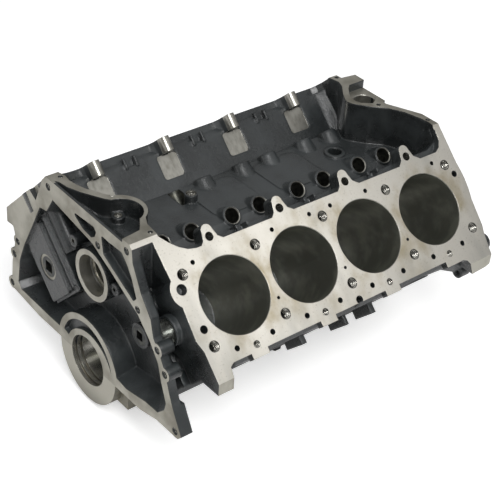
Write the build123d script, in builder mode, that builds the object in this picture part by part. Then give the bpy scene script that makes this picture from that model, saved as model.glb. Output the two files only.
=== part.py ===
"""Cast iron V8 engine block with its main bearing caps, bolts, cam bearings and plugs.

Millimetres. X runs forward along the crankshaft, Y to the left bank, Z up.
The origin is the crankshaft centre on the rear face, where the gearbox housing bolts on.
A bank is described by u along X, v across the deck towards the valley and h along its bores.
"""
import os
from math import radians, sin

from build123d import *

# Cylinders and decks
bore_count = 4
bore_spacing = 124.46
bore_radius = 55.2
bore_chamfer = 0.8
bore_floor = 96.0
deck_height = 258.4
first_bore = 117.5
bank_offset = 28.0
bank_tilt = 45.0

# Deck slab and jacket walls, across the bank
deck_slab = 12.0
deck_outer = -82.0
deck_valley = 75.0
jacket_outer = -88.0
jacket_valley = 84.0
jacket_radius = 73.0
jacket_floor = 152.0
bank_rear = 33.0
corner_post_floor = 150.0

# Head bolts, their tabs and the small holes of the deck
head_bolt_radius = 8.2
head_bolt_v = 52.0
head_bolt_depth = 45.0
head_bolt_boss = 15.0
tab_bolt_radius = 6.4
tab_bolt_v = 86.0
tab_tip_v = 104.0
tab_thickness = 23.0
tab_half_width = 9.0
edge_bolt_radius = 5.25
edge_bolt_v = -73.0
edge_bolt_depth = 32.0
edge_boss_radius = 14.0
edge_boss_v = -77.0
edge_boss_length = 60.0
steam_hole_radius = 3.3
steam_hole_v = 62.0
steam_hole_spread = (20.0, 89.0, 227.0)
saddle_hole_radius = 2.4
saddle_hole_v = -28.0
water_hole_radius = 4.1
water_hole_v = -67.0
water_hole_offset = 31.0
corner_hole_radius = 5.8
corner_hole_v = -26.0
water_depth = 28.0
rear_dowel_radius = 7.8
front_dowel_radius = 5.0
dowel_depth = 14.0
dowel_v = 34.0
dowel_spread = 259.5
edge_notch_radius = 6.0

# Milled patches under the tabs and the drain pockets between them
patch_width = 36.0
patch_height = 38.0
patch_depth = 1.6
drain_width = 15.0
drain_height = 11.0
drain_depth = 6.0
drain_rib = 4.0
drain_rib_rise = 3.0

# Machined corner feet and end walls at the ends of the decks
foot_y = 254.0
rear_foot_start = 38.0
rear_foot_length = 26.0
front_foot_start = 520.0
front_foot_end = 566.0
foot_drop = 19.0
foot_skew = 8.0
foot_root = 50.0
right_end_wall_depth = 70.0
left_end_wall_depth = 30.0
end_wall_length = 44.0

# Core plugs, ribs and bosses on the outer walls
core_plug_radius = 19.0
core_plug_depth = 11.0
core_plug_sheet = 1.8
core_plug_inset = 1.0
side_plug_h = 208.0
side_ribs = ((230.0, 9.0, -104.0), (312.0, 6.0, -106.0), (364.0, 9.0, -107.0), (470.0, 6.0, -92.0))
side_rib_height = 42.0
side_rib_h = 174.0
lug_place = (-222.0, 73.0)
lug_radius = 10.0
lug_start = 531.0
lug_length = 18.0
lug_hole_radius = 4.5
lug_root_h = 210.0
lug_root_height = 23.0
lug_tip_v = -106.0
end_boss_radius = 13.0
end_boss_face = 576.0
end_boss_place = (-78.0, 243.5)

# Crankcase and main bearings
crank_bore_radius = 40.5
bulkhead_thickness = 25.0
crank_clear_radius = 111.0
pan_rail_y = 136.0
pan_rail_height = 12.0
case_wall_y = 126.0
case_shoulder_y = 134.0
case_shoulder_z = 46.0
case_rear = 36.0
pan_bolt_radius = 4.0
pan_bolt_depth = 16.0
pan_bolt_y = 123.0
pan_bolt_count = 9
pan_pad_rise = 1.5
pan_pad_inner = 112.0
pan_pad_start = 16.0
pan_pad_end = 568.0

# Main bearing caps and their bolts
cap_half_width = 98.0
end_cap_half_width = 76.0
cap_outer_seat = 40.0
cap_inner_seat = 58.0
cap_bottom = 78.0
cap_step_y = 70.0
cap_foot_y = 43.0
cap_bolt_radius = 6.4
cap_bolt_clearance = 0.3
cap_inner_bolt_y = 56.0
cap_outer_bolt_y = 84.0
cap_bolt_reach = 38.0
cap_bolt_end_gap = 4.0
cap_hex_flats = 19.0
cap_hex_height = 11.0
cap_washer_radius = 12.0
cap_washer_height = 2.5
cap_foot_fillet = 6.0
cap_spot_radius = 13.5

# Rear seal ring, half in the block and half in the rear cap
seal_ring_radius = 75.5
seal_cap_radius = 70.0
seal_groove_radius = 45.0
seal_groove_starts = (5.0, 14.0)
seal_groove_width = 4.0
crescent_inner = 52.0
crescent_outer = 64.5
crescent_depth = 8.0
rear_cap_ear_start = 16.0
rear_cap_ear_z = 46.0
rear_cap_ear_y = 80.0

# Camshaft tunnel and lifter bores
cam_height = 150.0
cam_bore_radius = 30.0
cam_bearing_bore = 27.2
cam_bearing_length = 19.0
cam_web_radius = 40.0
cam_ring_face = 8.0
cam_counterbore_radius = 31.5
cam_counterbore_depth = 20.0
cam_gallery_radius = 34.0
cam_slot_half_width = 27.0
lifter_radius = 11.1
lifter_boss_radius = 15.0
lifter_boss_taper = 8.0
lifter_boss_length = 42.0
lifter_boss_chamfer = 1.5
lifter_mouth = 180.0
lifter_offset = 26.0
lifter_chamfer = 1.5
lifter_base = 112.0

# Valley and its end walls
valley_floor = 197.0
shelf_drop = 3.0
rail_top = 264.0
rail_root = 185.0
rail_hole_radius = 3.6
rail_hole_depth = 18.0
valley_panels = ((244.0, 0.0), (368.0, 0.0))
valley_panel_length = 88.0
valley_panel_width = 84.0
valley_panel_corner = 16.0
valley_panel_rise = 1.5
valley_root = 18.0
drain_ring_radius = 17.0
drain_ring_rise = 4.0
drain_bore_radius = 11.0
drain_ring_x = 462.0
sender_boss_radius = 10.0
sender_boss_rise = 12.0
sender_bore_radius = 6.0
sender_place = (196.0, 20.0)
relief_lifter = 2
relief_floor = 150.0
relief_reach = 25.0

# Rear face: flange, recess, ribs and bosses
flange_thickness = 14.0
ear_thickness = 20.0
recess_floor = 36.0
recess_back = 8.0
recess_narrowing = 0.867
rim_narrowing = 0.82
narrowing_centre = (113.0, 70.0)
pocket_depth = 12.0
pocket_corner = 3.0
pocket_floor = 234.0
pocket_boss_place = (46.0, -10.0)
pocket_boss_rise = 9.0
band_slope_top = 256.0
band_slope_ends = (4.0, 30.0)
band_width = (-88.0, 84.0)
flange_hole_radius = 5.8
flange_hole_depth = 18.0
flange_lug_radius = 10.5
flange_lug_length = 22.0
end_pad_length = 112.0
end_pad_width = 62.0
end_pad_v = -6.0
end_pad_h = 156.0
end_pad_corner = 4.0
end_plate_face = 39.0
end_plate_v = (-38.0, 46.0)
end_plate_h = (96.0, 225.0)
end_ridge_face = 35.0
end_ridge_v = (38.0, 44.0)
end_ridge_h = (105.0, 215.0)

# Plugs
plug_gap = 0.05
rear_plug_v = -8.5
rear_plug_h = 212.0
rear_plug_face = 25.0
rear_plug_boss = 22.5
bank_plug_radius = 16.5
bank_spot_radius = 20.5
bank_spot_depth = 1.5
bank_plug_h = 149.0
bank_plug_socket = 17.0
pipe_plug_radius = 14.5
pipe_plug_boss = 19.5
pipe_plug_face = 25.0
pipe_plug_place = (-93.0, 95.0)
pipe_plug_socket = 13.5
pipe_plug_length = 14.0
small_plug_radius = 5.5
small_plug_boss = 9.5
small_plug_face = 12.0
small_plug_places = ((52.0, 178.0), (-50.0, 154.0))
small_plug_socket = 5.5
small_plug_length = 9.0
socket_depth = 8.0

# Front face
front_face = 577.0
timing_floor = 552.0
timing_corner = 8.0
timing_hub_rise = 4.0
timing_bolt_radius = 4.0
timing_bolt_depth = 16.0
distributor_x = 549.0
distributor_y = 33.0
distributor_radius = 17.5
distributor_seat = 250.0
distributor_chamfer = 1.5
water_port_radius = 17.0
water_port_depth = 30.0
front_plug_places = ((-44.0, 176.0), (44.0, 176.0))

SLOPE = sin(radians(bank_tilt))
half_spacing = bore_spacing / 2
bore_centres = [first_bore + bore_spacing * i for i in range(bore_count)]
bank_middle = (bore_centres[0] + bore_centres[-1]) / 2
bore_gaps = [bore_centres[0] + half_spacing + bore_spacing * i for i in range(bore_count - 1)]
head_bolt_row = [bore_centres[0] - half_spacing + bore_spacing * i for i in range(bore_count + 1)]
main_first = first_bore - half_spacing - bank_offset / 2
main_centres = [main_first + bore_spacing * i for i in range(bore_count + 1)]
lifter_v = cam_height * SLOPE
shelf_h = lifter_mouth - shelf_drop
plateau_y = 2 * shelf_h * SLOPE - valley_floor
deck_point_sum = deck_height / SLOPE


def bank_point(v, h):
    """Section point (y, z) of the right bank at v across and h along its bores."""
    return (-(h - v) * SLOPE, (h + v) * SLOPE)


def bank_plane(h):
    """Plane parallel to the right deck: local X forward, local Y towards the valley."""
    return Plane(origin=(0, -h * SLOPE, h * SLOPE), x_dir=(1, 0, 0), z_dir=(0, -SLOPE, SLOPE))


def side_plane(v):
    """Plane along a wall of the right bank: local X forward, local Y down its bores."""
    return Plane(origin=(0, v * SLOPE, v * SLOPE), x_dir=(1, 0, 0), z_dir=(0, SLOPE, SLOPE))


def left_copy(right):
    """Mirror image of a right bank feature or piece, set back by the bank offset."""
    return Pos(-bank_offset, 0, 0) * mirror(right, about=Plane.XZ, mode=Mode.PRIVATE)


def both_banks(right):
    """A right bank feature together with its copy on the left bank."""
    with BuildPart() as pair:
        add(right)
        add(left_copy(right))
    return pair.part


def mirrored(points):
    """Section points and their mirror images, which close the outline."""
    return points + [(-y, z) for y, z in reversed(points)]


def post(plane, places, radius, length):
    """Round posts or holes drawn at places on a plane and grown along its normal."""
    with BuildPart() as posts:
        with BuildSketch(plane) as rounds:
            with Locations(*places):
                Circle(radius)
        extrude(rounds.sketch, amount=length)
    return posts.part


def tab_outline():
    """Rounded ear for one short head bolt, with wide curved roots on the valley edge."""
    tip = tab_tip_v - deck_valley
    half = tab_half_width
    with BuildSketch() as tab:
        with BuildLine():
            left = Polyline((-half - 12, -4), (-half - 11, 0), (-half - 3, 8), (-half, tip - half))
            crown = ThreePointArc(left @ 1, (0, tip), (half, tip - half))
            Polyline(crown @ 1, (half + 4, 8), (half + 15, 0), (half + 16, -4), left @ 0)
        make_face()
    return tab.sketch


def deck_outline(foot_start):
    """Machined deck face of a bank, with tabs, bolt lobes and the two lower feet."""
    foot_end = foot_start + rear_foot_length
    foot_v = deck_height - foot_y / SLOPE
    corner_v = rail_top / SLOPE - deck_height
    front_edge = [(front_foot_end, foot_v), (567, -89), (570, -66), (573, -55), (575, -12)]
    valley_edge = [
        (577, 48), (576, 107), (575, 113), (565, 113), (563, 90), (557, 80), (548, deck_valley),
        (92, deck_valley + 3), (79, 81), (67, 88), (56, 98), (46, 110), (43, corner_v), (33, corner_v),
        (34, 74), (35, 50),
    ]
    lower_edge = [
        (35, 12), (bank_rear, -36), (foot_start, -54), (foot_start, foot_v), (foot_end, foot_v),
        (foot_end + 2, deck_outer - 4), (foot_end + 9, deck_outer), (500, deck_outer), (500, -90.5),
        (510, -90.5), (517, -94), (front_foot_start, foot_v), front_edge[0],
    ]
    with BuildSketch(bank_plane(deck_height)) as deck:
        with BuildLine():
            Polyline(*front_edge)
            ThreePointArc(front_edge[-1], (579, 18), valley_edge[0])
            Polyline(*valley_edge)
            ThreePointArc(valley_edge[-1], (27, 31), lower_edge[0])
            Polyline(*lower_edge)
        make_face()
        with Locations(*[(u, deck_valley) for u in bore_centres]):
            add(tab_outline())
        with Locations(*[(u, edge_boss_v) for u in bore_centres]):
            Rectangle(2 * edge_boss_radius, 2 * edge_boss_radius)
    return deck.sketch


def end_wall_outline(foot_start, u):
    """The part of the deck outline over the end wall at u, without the lower foot."""
    with BuildSketch(bank_plane(deck_height)) as wall:
        add(deck_outline(foot_start))
        with Locations((u, jacket_outer)):
            Rectangle(end_wall_length, 4 * jacket_valley, align=(Align.CENTER, Align.MIN), mode=Mode.INTERSECT)
    return wall.sketch


def deck_slab_part(foot_start, rear_wall_depth):
    """Deck slab of one bank, its deeper tabs, its end walls and its two machined feet."""
    foot_end = foot_start + rear_foot_length
    foot_top = deck_point_sum - foot_y
    low = foot_top - foot_drop
    with BuildPart() as slab:
        extrude(deck_outline(foot_start), amount=-deck_slab)
        with BuildSketch(bank_plane(deck_height)) as tabs:
            with Locations(*[(u, deck_valley) for u in bore_centres]):
                add(tab_outline())
        extrude(tabs.sketch, amount=-tab_thickness)
        extrude(end_wall_outline(foot_start, bank_rear), amount=-rear_wall_depth)
        extrude(end_wall_outline(foot_start, front_face + 12), amount=-left_end_wall_depth)
        add(corner_foot([(foot_start, foot_top), (foot_end, foot_top), (foot_end, low), (foot_start, low)]))
        add(corner_foot([(front_foot_start, foot_top), (front_foot_end, foot_top), (565, low + 2),
                         (557, low - 1), (front_foot_start + foot_skew, low - 3)]))
    return slab.part


def corner_foot(face):
    """Machined foot at a lower deck corner, from its upright outer face (x, z) inwards."""
    with BuildPart() as foot:
        with BuildSketch(Plane.XZ.offset(foot_y)):
            Polygon(*face, align=None)
        extrude(amount=-foot_root)
    return foot.part


def jacket():
    """Water jacket body of the right bank, rounded round its end cylinders."""
    run = bore_centres[-1] - bore_centres[0]
    ends = [(u, v) for u in (head_bolt_row[0], head_bolt_row[-1]) for v in (-head_bolt_v, head_bolt_v)]
    with BuildPart() as body:
        with BuildSketch(bank_plane(jacket_floor)) as section:
            with Locations((bank_middle, 0)):
                SlotCenterToCenter(run, 2 * jacket_radius)
            with Locations((bank_middle, (jacket_outer + jacket_valley) / 2)):
                Rectangle(run + jacket_radius, jacket_valley - jacket_outer)
            with Locations(*ends):
                Circle(head_bolt_boss)
        extrude(section.sketch, amount=deck_height - deck_slab - jacket_floor)
        top_rim = body.faces().sort_by(Axis((0, 0, 0), (0, -SLOPE, SLOPE)))[-1]
        chamfer(top_rim.edges().filter_by(Axis.X), 6)
        for u in bore_centres:
            add(post(bank_plane(deck_height - deck_slab), [(u, edge_boss_v)], edge_boss_radius,
                     -edge_boss_length))
    return body.part


def corner_posts(start):
    """Walls under the valley corners of a deck, from u at start, down beside the end walls."""
    with BuildPart() as posts:
        with BuildSketch(bank_plane(corner_post_floor)) as feet:
            with BuildLine():
                Polyline((37, 60), (37, 116), (42, 116), (54, 99), (67, 86), (80, 79), (92, 76),
                         (120, 60), (37, 60))
            make_face()
            with BuildLine():
                Polyline((500, 60), (500, 84), (545, 84), (563, 91), (564, 113), (573, 113),
                         (573, 60), (500, 60))
            make_face()
            with Locations((start + bank_middle, 0)):
                Rectangle(2 * bank_middle, 4 * jacket_valley, mode=Mode.INTERSECT)
        extrude(feet.sketch, amount=deck_height - deck_slab - corner_post_floor)
    return posts.part


def outer_bosses():
    """Ribs, bracket lug and end boss on the outer wall of the right bank."""
    with BuildPart() as bosses:
        for u, width, tip_v in side_ribs:
            with BuildSketch(side_plane(jacket_outer + 2)) as rib:
                with Locations((u, -side_rib_h)):
                    Rectangle(width, side_rib_height)
            extrude(rib.sketch, amount=tip_v - jacket_outer - 2)
        with BuildSketch(side_plane(jacket_outer + 2)) as root:
            with Locations((lug_start, -lug_root_h)):
                Rectangle(2 * lug_root_height, 2 * lug_root_height)
        with BuildSketch(side_plane(lug_tip_v)) as tip:
            with Locations((lug_start + lug_length / 2, -lug_root_h)):
                Rectangle(lug_length - 4, lug_radius)
        loft([root.sketch.face(), tip.sketch.face()], ruled=True)
        add(post(Plane.YZ.offset(lug_start), [lug_place], lug_radius, lug_length))
        add(post(Plane.YZ.offset(timing_floor), [bank_point(*end_boss_place)], end_boss_radius,
                 end_boss_face - timing_floor))
        add(post(Plane.YZ.offset(lug_start), [lug_place], lug_hole_radius, lug_length), mode=Mode.SUBTRACT)
    return bosses.part


def crankcase():
    """Crankcase, cam tunnel and valley floor, one section along the whole block."""
    right = [
        (-pan_rail_y, 0),
        (-pan_rail_y, pan_rail_height),
        (-case_wall_y, pan_rail_height + 4),
        (-case_shoulder_y, case_shoulder_z),
        bank_point(jacket_outer, jacket_floor),
        bank_point(jacket_outer, jacket_floor + 20),
        bank_point(jacket_valley, jacket_floor + 20),
        bank_point(jacket_valley, shelf_h),
        (-plateau_y, valley_floor),
    ]
    with BuildPart() as case:
        with BuildSketch(Plane.YZ.offset(case_rear)):
            Polygon(*mirrored(right), align=None)
        extrude(amount=timing_floor - case_rear)
    return case.part


def lifter_bosses(places):
    """Tapered collars of lifter bores of the right bank, at places on the deck."""
    edge = lifter_boss_chamfer
    with BuildPart() as collars:
        add(cones(bank_plane(lifter_mouth), places, lifter_boss_radius - edge, edge, -45))
        add(cones(bank_plane(lifter_mouth - edge), places, lifter_boss_radius, lifter_boss_length,
                  -lifter_boss_taper))
    return collars.part


def lifter_places():
    """Places (u, v) of the eight lifter bores of a bank."""
    return [(u + side * lifter_offset, lifter_v) for u in bore_centres for side in (-1, 1)]


def valley_details():
    """Low cast panels and the drain ring on the valley floor."""
    with BuildPart() as details:
        with BuildSketch(Plane.XY.offset(valley_floor - 4)) as panels:
            with Locations(*valley_panels):
                RectangleRounded(valley_panel_length, valley_panel_width, valley_panel_corner)
        extrude(panels.sketch, amount=valley_panel_rise + 4)
        floor = Plane.XY.offset(valley_floor - 4)
        add(post(floor, [(drain_ring_x, 0)], drain_ring_radius, drain_ring_rise + 4))
    return details.part


def sender_boss():
    """Tall round boss for the oil pressure sender, beside one left lifter bore."""
    return post(Plane.XY.offset(valley_floor - valley_root), [sender_place], sender_boss_radius,
                sender_boss_rise + valley_root)


def lifter_relief():
    """Relief cut from the valley into one lifter bore, right bank."""
    u = lifter_places()[relief_lifter][0]
    with BuildPart() as relief:
        with BuildSketch(bank_plane(relief_floor)) as foot:
            with Locations((u, lifter_v + relief_reach / 2)):
                Rectangle(2 * lifter_radius, relief_reach)
        extrude(foot.sketch, amount=lifter_mouth + 2 * relief_reach - relief_floor)
    return relief.part


def flange_outline():
    """Rear flange outline (y, z), clockwise from its top right corner."""
    return [
        (-107, 258), (-109, 239), (-129, 200), (-151, 172), (-158, 145), (-172, 128),
        (-186, 104), (-196, 76), (-205, 55), (-226, 17), (-218, 9), (-170, 9), (-131, 0),
        (131, 0), (196, 8), (208, 9), (203, 60), (190, 110), (196, 128), (213, 127), (213, 152),
        (146, 219), (129, 209), (111, 253), (101, 264), (90, 264),
    ]


def rim_outline():
    """The same outline without its lower ears, as the rim behind the flange."""
    return [
        (-105, 252), (-109, 239), (-129, 200), (-151, 172), (-158, 145), (-172, 128),
        (-186, 104), (-194, 76), (-197, 50), (-190, 30), (-176, 14), (-131, 2),
        (131, 2), (182, 10), (196, 26), (190, 110), (196, 128), (205, 135), (205, 160),
        (146, 219), (129, 209), (111, 253), (90, 254),
    ]


def narrowed(points, scale):
    """Section points drawn in towards the middle of the recess."""
    cy, cz = narrowing_centre
    return [(cy + scale * (y - cy), cz + scale * (z - cz)) for y, z in points]


def tapered_block(points, start, scale, end):
    """Block between a section outline at one x and the same outline narrowed at another."""
    with BuildPart() as block:
        with BuildSketch(Plane.YZ.offset(start)) as near:
            Polygon(*points, align=None)
        with BuildSketch(Plane.YZ.offset(end)) as far:
            Polygon(*narrowed(points, scale), align=None)
        loft([near.sketch.face(), far.sketch.face()], ruled=True)
    return block.part


def recess_outline():
    """Outline (y, z) of the deep recess inside the flange."""
    return [
        (-75, 17), (-98, 14), (-144, 23), (-172, 24), (-187, 39), (-190, 53), (-178, 83),
        (-170, 110), (-150, 136), (-123, 162), (-60, 195), (-14, 217), (38, 226), (84, 234),
        (101, 206), (119, 203), (138, 165), (167, 109), (181, 75), (188, 30), (180, 20),
        (100, 18), (71, 18),
    ]


def flange_holes():
    """Places (y, z) of the threaded holes in the gearbox flange."""
    return [
        (-95, 250), (95, 250), (-28, 221), (-122, 170), (-167, 130), (-185, 100),
        (-212, 19), (185, 106), (196, 77), (206, 18),
    ]


def top_pocket(points):
    """Rounded lightening pocket between the top band and the diagonal rib."""
    with BuildSketch() as pocket:
        Polygon(*points, align=None)
        fillet(pocket.vertices(), pocket_corner)
    return pocket.sketch


def rear_flange():
    """Gearbox flange: rim, top band with its sloping back, and corner ears."""
    ears = [[(-205, 55), (-226, 17), (-218, 9), (-170, 9), (-178, 50)],
            [(203, 60), (208, 9), (196, 8), (160, 4), (185, 60)]]
    with BuildPart() as flange:
        with BuildSketch(Plane.YZ) as plate:
            Polygon(*flange_outline(), align=None)
            with Locations(*flange_holes()):
                Circle(flange_lug_radius)
        extrude(plate.sketch, amount=flange_thickness)
        with BuildSketch(Plane.YZ) as corners:
            for ear in ears:
                Polygon(*ear, align=None)
        extrude(corners.sketch, amount=ear_thickness)
        add(tapered_block(rim_outline(), flange_thickness, rim_narrowing, recess_floor + recess_back))
        lugs = [place for place in flange_holes() if 50 < place[1] < 200]
        add(post(Plane.YZ, lugs, flange_lug_radius, flange_lug_length))
        start, end = band_slope_ends
        with BuildSketch(Plane.XZ.offset(-band_width[1])) as slope:
            Polygon((start, rail_top + 1), (start, band_slope_top), (end, pocket_floor),
                    (2 * end, pocket_floor), (2 * end, rail_top + 1), align=None)
        extrude(slope.sketch, amount=band_width[1] - band_width[0], mode=Mode.SUBTRACT)
    return flange.part


def rear_end():
    """Gearbox flange and rear valley wall, hollowed by the deep recess and the top pockets."""
    with BuildPart() as end:
        add(rear_flange())
        add(rear_wall())
        add(tapered_block(recess_outline(), 0, recess_narrowing, recess_floor), mode=Mode.SUBTRACT)
        with BuildSketch(Plane.YZ) as pockets:
            add(top_pocket([(36, 243), (-19, 246), (-24, 240), (-21, 231), (-12, 225), (8, 228)]))
            add(top_pocket([(-36, 242), (-56, 241), (-84, 242), (-97, 229), (-107, 214),
                            (-119, 186), (-112, 178), (-60, 204), (-41, 214)]))
        extrude(pockets.sketch, amount=pocket_depth, mode=Mode.SUBTRACT)
    return end.part


def rear_bosses():
    """Rings round the main and cam bores and plug bosses inside the rear recess."""
    back = recess_floor + recess_back / 2
    with BuildPart() as bosses:
        with BuildSketch(Plane.YZ) as seal:
            Circle(seal_ring_radius)
            with Locations((0, -seal_ring_radius)):
                Rectangle(4 * seal_ring_radius, 2 * seal_ring_radius, mode=Mode.SUBTRACT)
        extrude(seal.sketch, amount=back)
        add(post(Plane.YZ.offset(cam_ring_face), [(0, cam_height)], cam_web_radius, back - cam_ring_face))
        add(post(Plane.YZ.offset(pipe_plug_face), [pipe_plug_place], pipe_plug_boss, back - pipe_plug_face))
        small_face = Plane.YZ.offset(small_plug_face)
        add(post(small_face, small_plug_places, small_plug_boss, back - small_plug_face))
        add(post(Plane.YZ.offset(rear_plug_face), [bank_point(rear_plug_v, rear_plug_h)], rear_plug_boss,
                 recess_floor - rear_plug_face + 3 * recess_back))
    return bosses.part


def crescent():
    """Tapering recess cast into the face of the seal ring."""
    with BuildPart() as moon:
        with BuildSketch(Plane.YZ) as shape:
            with BuildLine():
                outer = ThreePointArc((61, 21), (10, crescent_outer), (-61, 14))
                inner = ThreePointArc(outer @ 1, (-4, crescent_inner), (49, 17))
                Line(inner @ 1, outer @ 0)
            make_face()
        extrude(shape.sketch, amount=crescent_depth)
    return moon.part


def end_pad():
    """Raised pad on the rear end of a bank, lined up with its bores."""
    centre = bank_point(end_pad_v, end_pad_h)
    with BuildPart() as pad:
        with BuildSketch(Plane.YZ.offset(bank_rear)) as face:
            with Locations(Location((*centre, 0), (0, 0, bank_tilt))):
                Rectangle(end_pad_width, end_pad_length)
        extrude(face.sketch, amount=30)
        fillet(pad.edges().filter_by(Axis.X), end_pad_corner)
    return pad.part


def left_end_plate():
    """Plate behind the left end pad with one cast ridge, drawn on the right bank."""
    with BuildPart() as plate:
        for face, vs, hs in ((end_plate_face, end_plate_v, end_plate_h),
                             (end_ridge_face, end_ridge_v, end_ridge_h)):
            with BuildSketch(Plane.YZ.offset(face)) as block:
                with Locations(Location((*bank_point(sum(vs) / 2, sum(hs) / 2), 0), (0, 0, bank_tilt))):
                    Rectangle(vs[1] - vs[0], hs[1] - hs[0])
            extrude(block.sketch, amount=bank_rear + bank_offset + 5 - face)
    return plate.part


def above_decks():
    """Space over both decks, cleared when they are milled flat."""
    with BuildPart() as space:
        with BuildSketch(bank_plane(deck_height)) as plane:
            with Locations((bank_middle, 0)):
                Rectangle(2 * bank_middle, 2 * bore_spacing)
        extrude(plane.sketch, amount=deck_slab)
    return both_banks(space.part)


def rear_wall():
    """Rear wall of the valley with its sloping pocket floor and manifold seal face."""
    inner = [(0, 104), (21, 102), (24, 88), (22, 74), (24, 60), (29, 43), (37, 28), (44, 15), (54, 7)]
    near = [(56, -60), (48, -75), (46, -92), (44, -107), (0, -107)]
    outer = [(0, -85), (31, -81), (38, -72), (47, -59)]
    far = [(42, 1), (36, 8), (28, 22), (18, 41), (10, 62), (8, 79), (0, 90), (0, 104)]
    with BuildPart() as wall:
        with BuildSketch(Plane.XY.offset(rail_root)) as seat:
            with BuildLine():
                Polyline(*inner)
                ThreePointArc(inner[-1], (75, -25), near[0])
                Polyline(*near)
                Line(near[-1], inner[0])
            make_face()
        extrude(seat.sketch, amount=pocket_floor - rail_root)
        with BuildSketch(Plane.XY.offset(rail_root)) as rail:
            with BuildLine():
                Polyline(*inner)
                ThreePointArc(inner[-1], (75, -25), near[0])
                Polyline(*near, *outer)
                ThreePointArc(outer[-1], (68, -27), far[0])
                Polyline(*far)
            make_face()
        extrude(rail.sketch, amount=rail_top - rail_root)
        add(post(Plane.XY.offset(pocket_floor - 4), [pocket_boss_place], sender_boss_radius,
                 pocket_boss_rise + 4))
        add(above_decks(), mode=Mode.SUBTRACT)
    return wall.part


def front_wall():
    """Front wall of the valley with the distributor pad and manifold seal face."""
    inner = [(533, 104), (537, 82), (532, 69), (516, 49), (508, 36)]
    near = [(510, 13), (524, -5), (544, -24), (557, -48), (564, -75), (566, -92), (563, -107)]
    outer = [(576, -107), (575.6, -67), (561, -34), (551, -12), (555, 12), (576, 14), (576, 86),
             (550, 90), (549, 104), (533, 104)]
    with BuildPart() as wall:
        with BuildSketch(Plane.XY.offset(rail_root)) as rail:
            with BuildLine():
                Polyline(*inner)
                ThreePointArc(inner[-1], (505, 26), near[0])
                Polyline(*near, *outer)
            make_face()
        extrude(rail.sketch, amount=rail_top - rail_root)
        add(above_decks(), mode=Mode.SUBTRACT)
    return wall.part


def rail_holes():
    """Threaded holes along the two manifold seal faces, and the pocket sender hole."""
    places = [(17, 89), (49, 9), (40, -93), (544, 95), (539, -8), (570, -85)]
    with BuildPart() as holes:
        add(post(Plane.XY.offset(rail_top), places, rail_hole_radius, -rail_hole_depth))
        boss_top = Plane.XY.offset(pocket_floor + pocket_boss_rise)
        add(post(boss_top, [pocket_boss_place], sender_bore_radius, -rail_hole_depth))
    return holes.part


def timing_case():
    """Front face: a rim for the timing cover round the chain recess, and its water ports."""
    rim = [(-120, 0), (-121, 40), (-98, 98), (-98, 150), (-148, 188), (-132, 222), (-108, 222), (-80, 196)]
    recess = [(-104, 0), (-106, 36), (-80, 94), (-72, 188)]
    with BuildPart() as case:
        with BuildSketch(Plane.YZ.offset(timing_floor - 4)) as face:
            Polygon(*mirrored(rim), align=None)
        extrude(face.sketch, amount=front_face - timing_floor + 4)
        with BuildSketch(Plane.YZ.offset(timing_floor)) as hollow:
            Polygon(*mirrored(recess), align=None)
            fillet(hollow.vertices().group_by(Axis.Z)[1:], timing_corner)
        extrude(hollow.sketch, amount=front_face - timing_floor, mode=Mode.SUBTRACT)
        hub = Plane.YZ.offset(timing_floor - 2)
        add(post(hub, [(0, cam_height)], cam_web_radius, timing_hub_rise + 2))
        ports = Plane.YZ.offset(front_face)
        add(post(ports, water_ports(), water_port_radius, -water_port_depth), mode=Mode.SUBTRACT)
        add(post(ports, timing_bolts(), timing_bolt_radius, -timing_bolt_depth), mode=Mode.SUBTRACT)
    return case.part


def water_ports():
    """Places (y, z) of the two water ports between pump and banks."""
    return [(side * 116, 194) for side in (-1, 1)]


def timing_bolts():
    """Places (y, z) of the timing cover bolts round the front rim."""
    right = [(-112, 12), (-112, 46), (-88, 104), (-87, 140), (-136, 206), (-84, 178)]
    return right + [(-y, z) for y, z in right]


def main_bays():
    """Space for the crank webs between the bulkheads, open to the sump."""
    with BuildPart() as bays:
        for x in main_centres[:-1]:
            with BuildSketch(Plane.YZ.offset(x + bulkhead_thickness / 2)) as bay:
                with Locations((0, 0)):
                    Circle(crank_clear_radius)
                with Locations((0, -crank_clear_radius)):
                    Rectangle(3 * crank_clear_radius, 2 * crank_clear_radius, mode=Mode.SUBTRACT)
                with Locations((0, cam_height / 2)):
                    Rectangle(2 * cam_slot_half_width, cam_height)
                with Locations((0, cam_height)):
                    Circle(cam_gallery_radius)
            extrude(bay.sketch, amount=bore_spacing - bulkhead_thickness)
    return bays.part


def shaft_bores():
    """Crankshaft bore with its seal grooves, and the camshaft tunnel."""
    with BuildPart() as bores:
        add(post(Plane.YZ.offset(-1), [(0, 0)], crank_bore_radius, front_face + 2))
        for start in seal_groove_starts:
            add(post(Plane.YZ.offset(start), [(0, 0)], seal_groove_radius, seal_groove_width))
        tunnel = Plane.YZ.offset(cam_ring_face - 1)
        add(post(tunnel, [(0, cam_height)], cam_bore_radius, front_face - cam_ring_face + 2))
        add(post(tunnel, [(0, cam_height)], cam_counterbore_radius, cam_counterbore_depth + 1))
    return bores.part


def cylinder_bores():
    """Cylinder bores of the right bank, with their small lead-in chamfers."""
    with BuildPart() as bores:
        places = [(u, 0) for u in bore_centres]
        add(post(bank_plane(bore_floor), places, bore_radius, deck_height - bore_floor))
        add(lead_in(bank_plane(deck_height), places, bore_radius, bore_chamfer))
    return bores.part


def cones(plane, places, radius, depth, taper):
    """Round cones that run back from a plane and narrow by the taper angle."""
    with BuildPart() as shapes:
        with BuildSketch(plane) as rounds:
            with Locations(*places):
                Circle(radius)
        extrude(rounds.sketch, amount=-depth, taper=taper)
    return shapes.part


def lead_in(mouth, places, radius, size):
    """Chamfers at the mouths of round holes, drawn on the mouth plane."""
    return cones(mouth, places, radius + size, size, 45)


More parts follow.
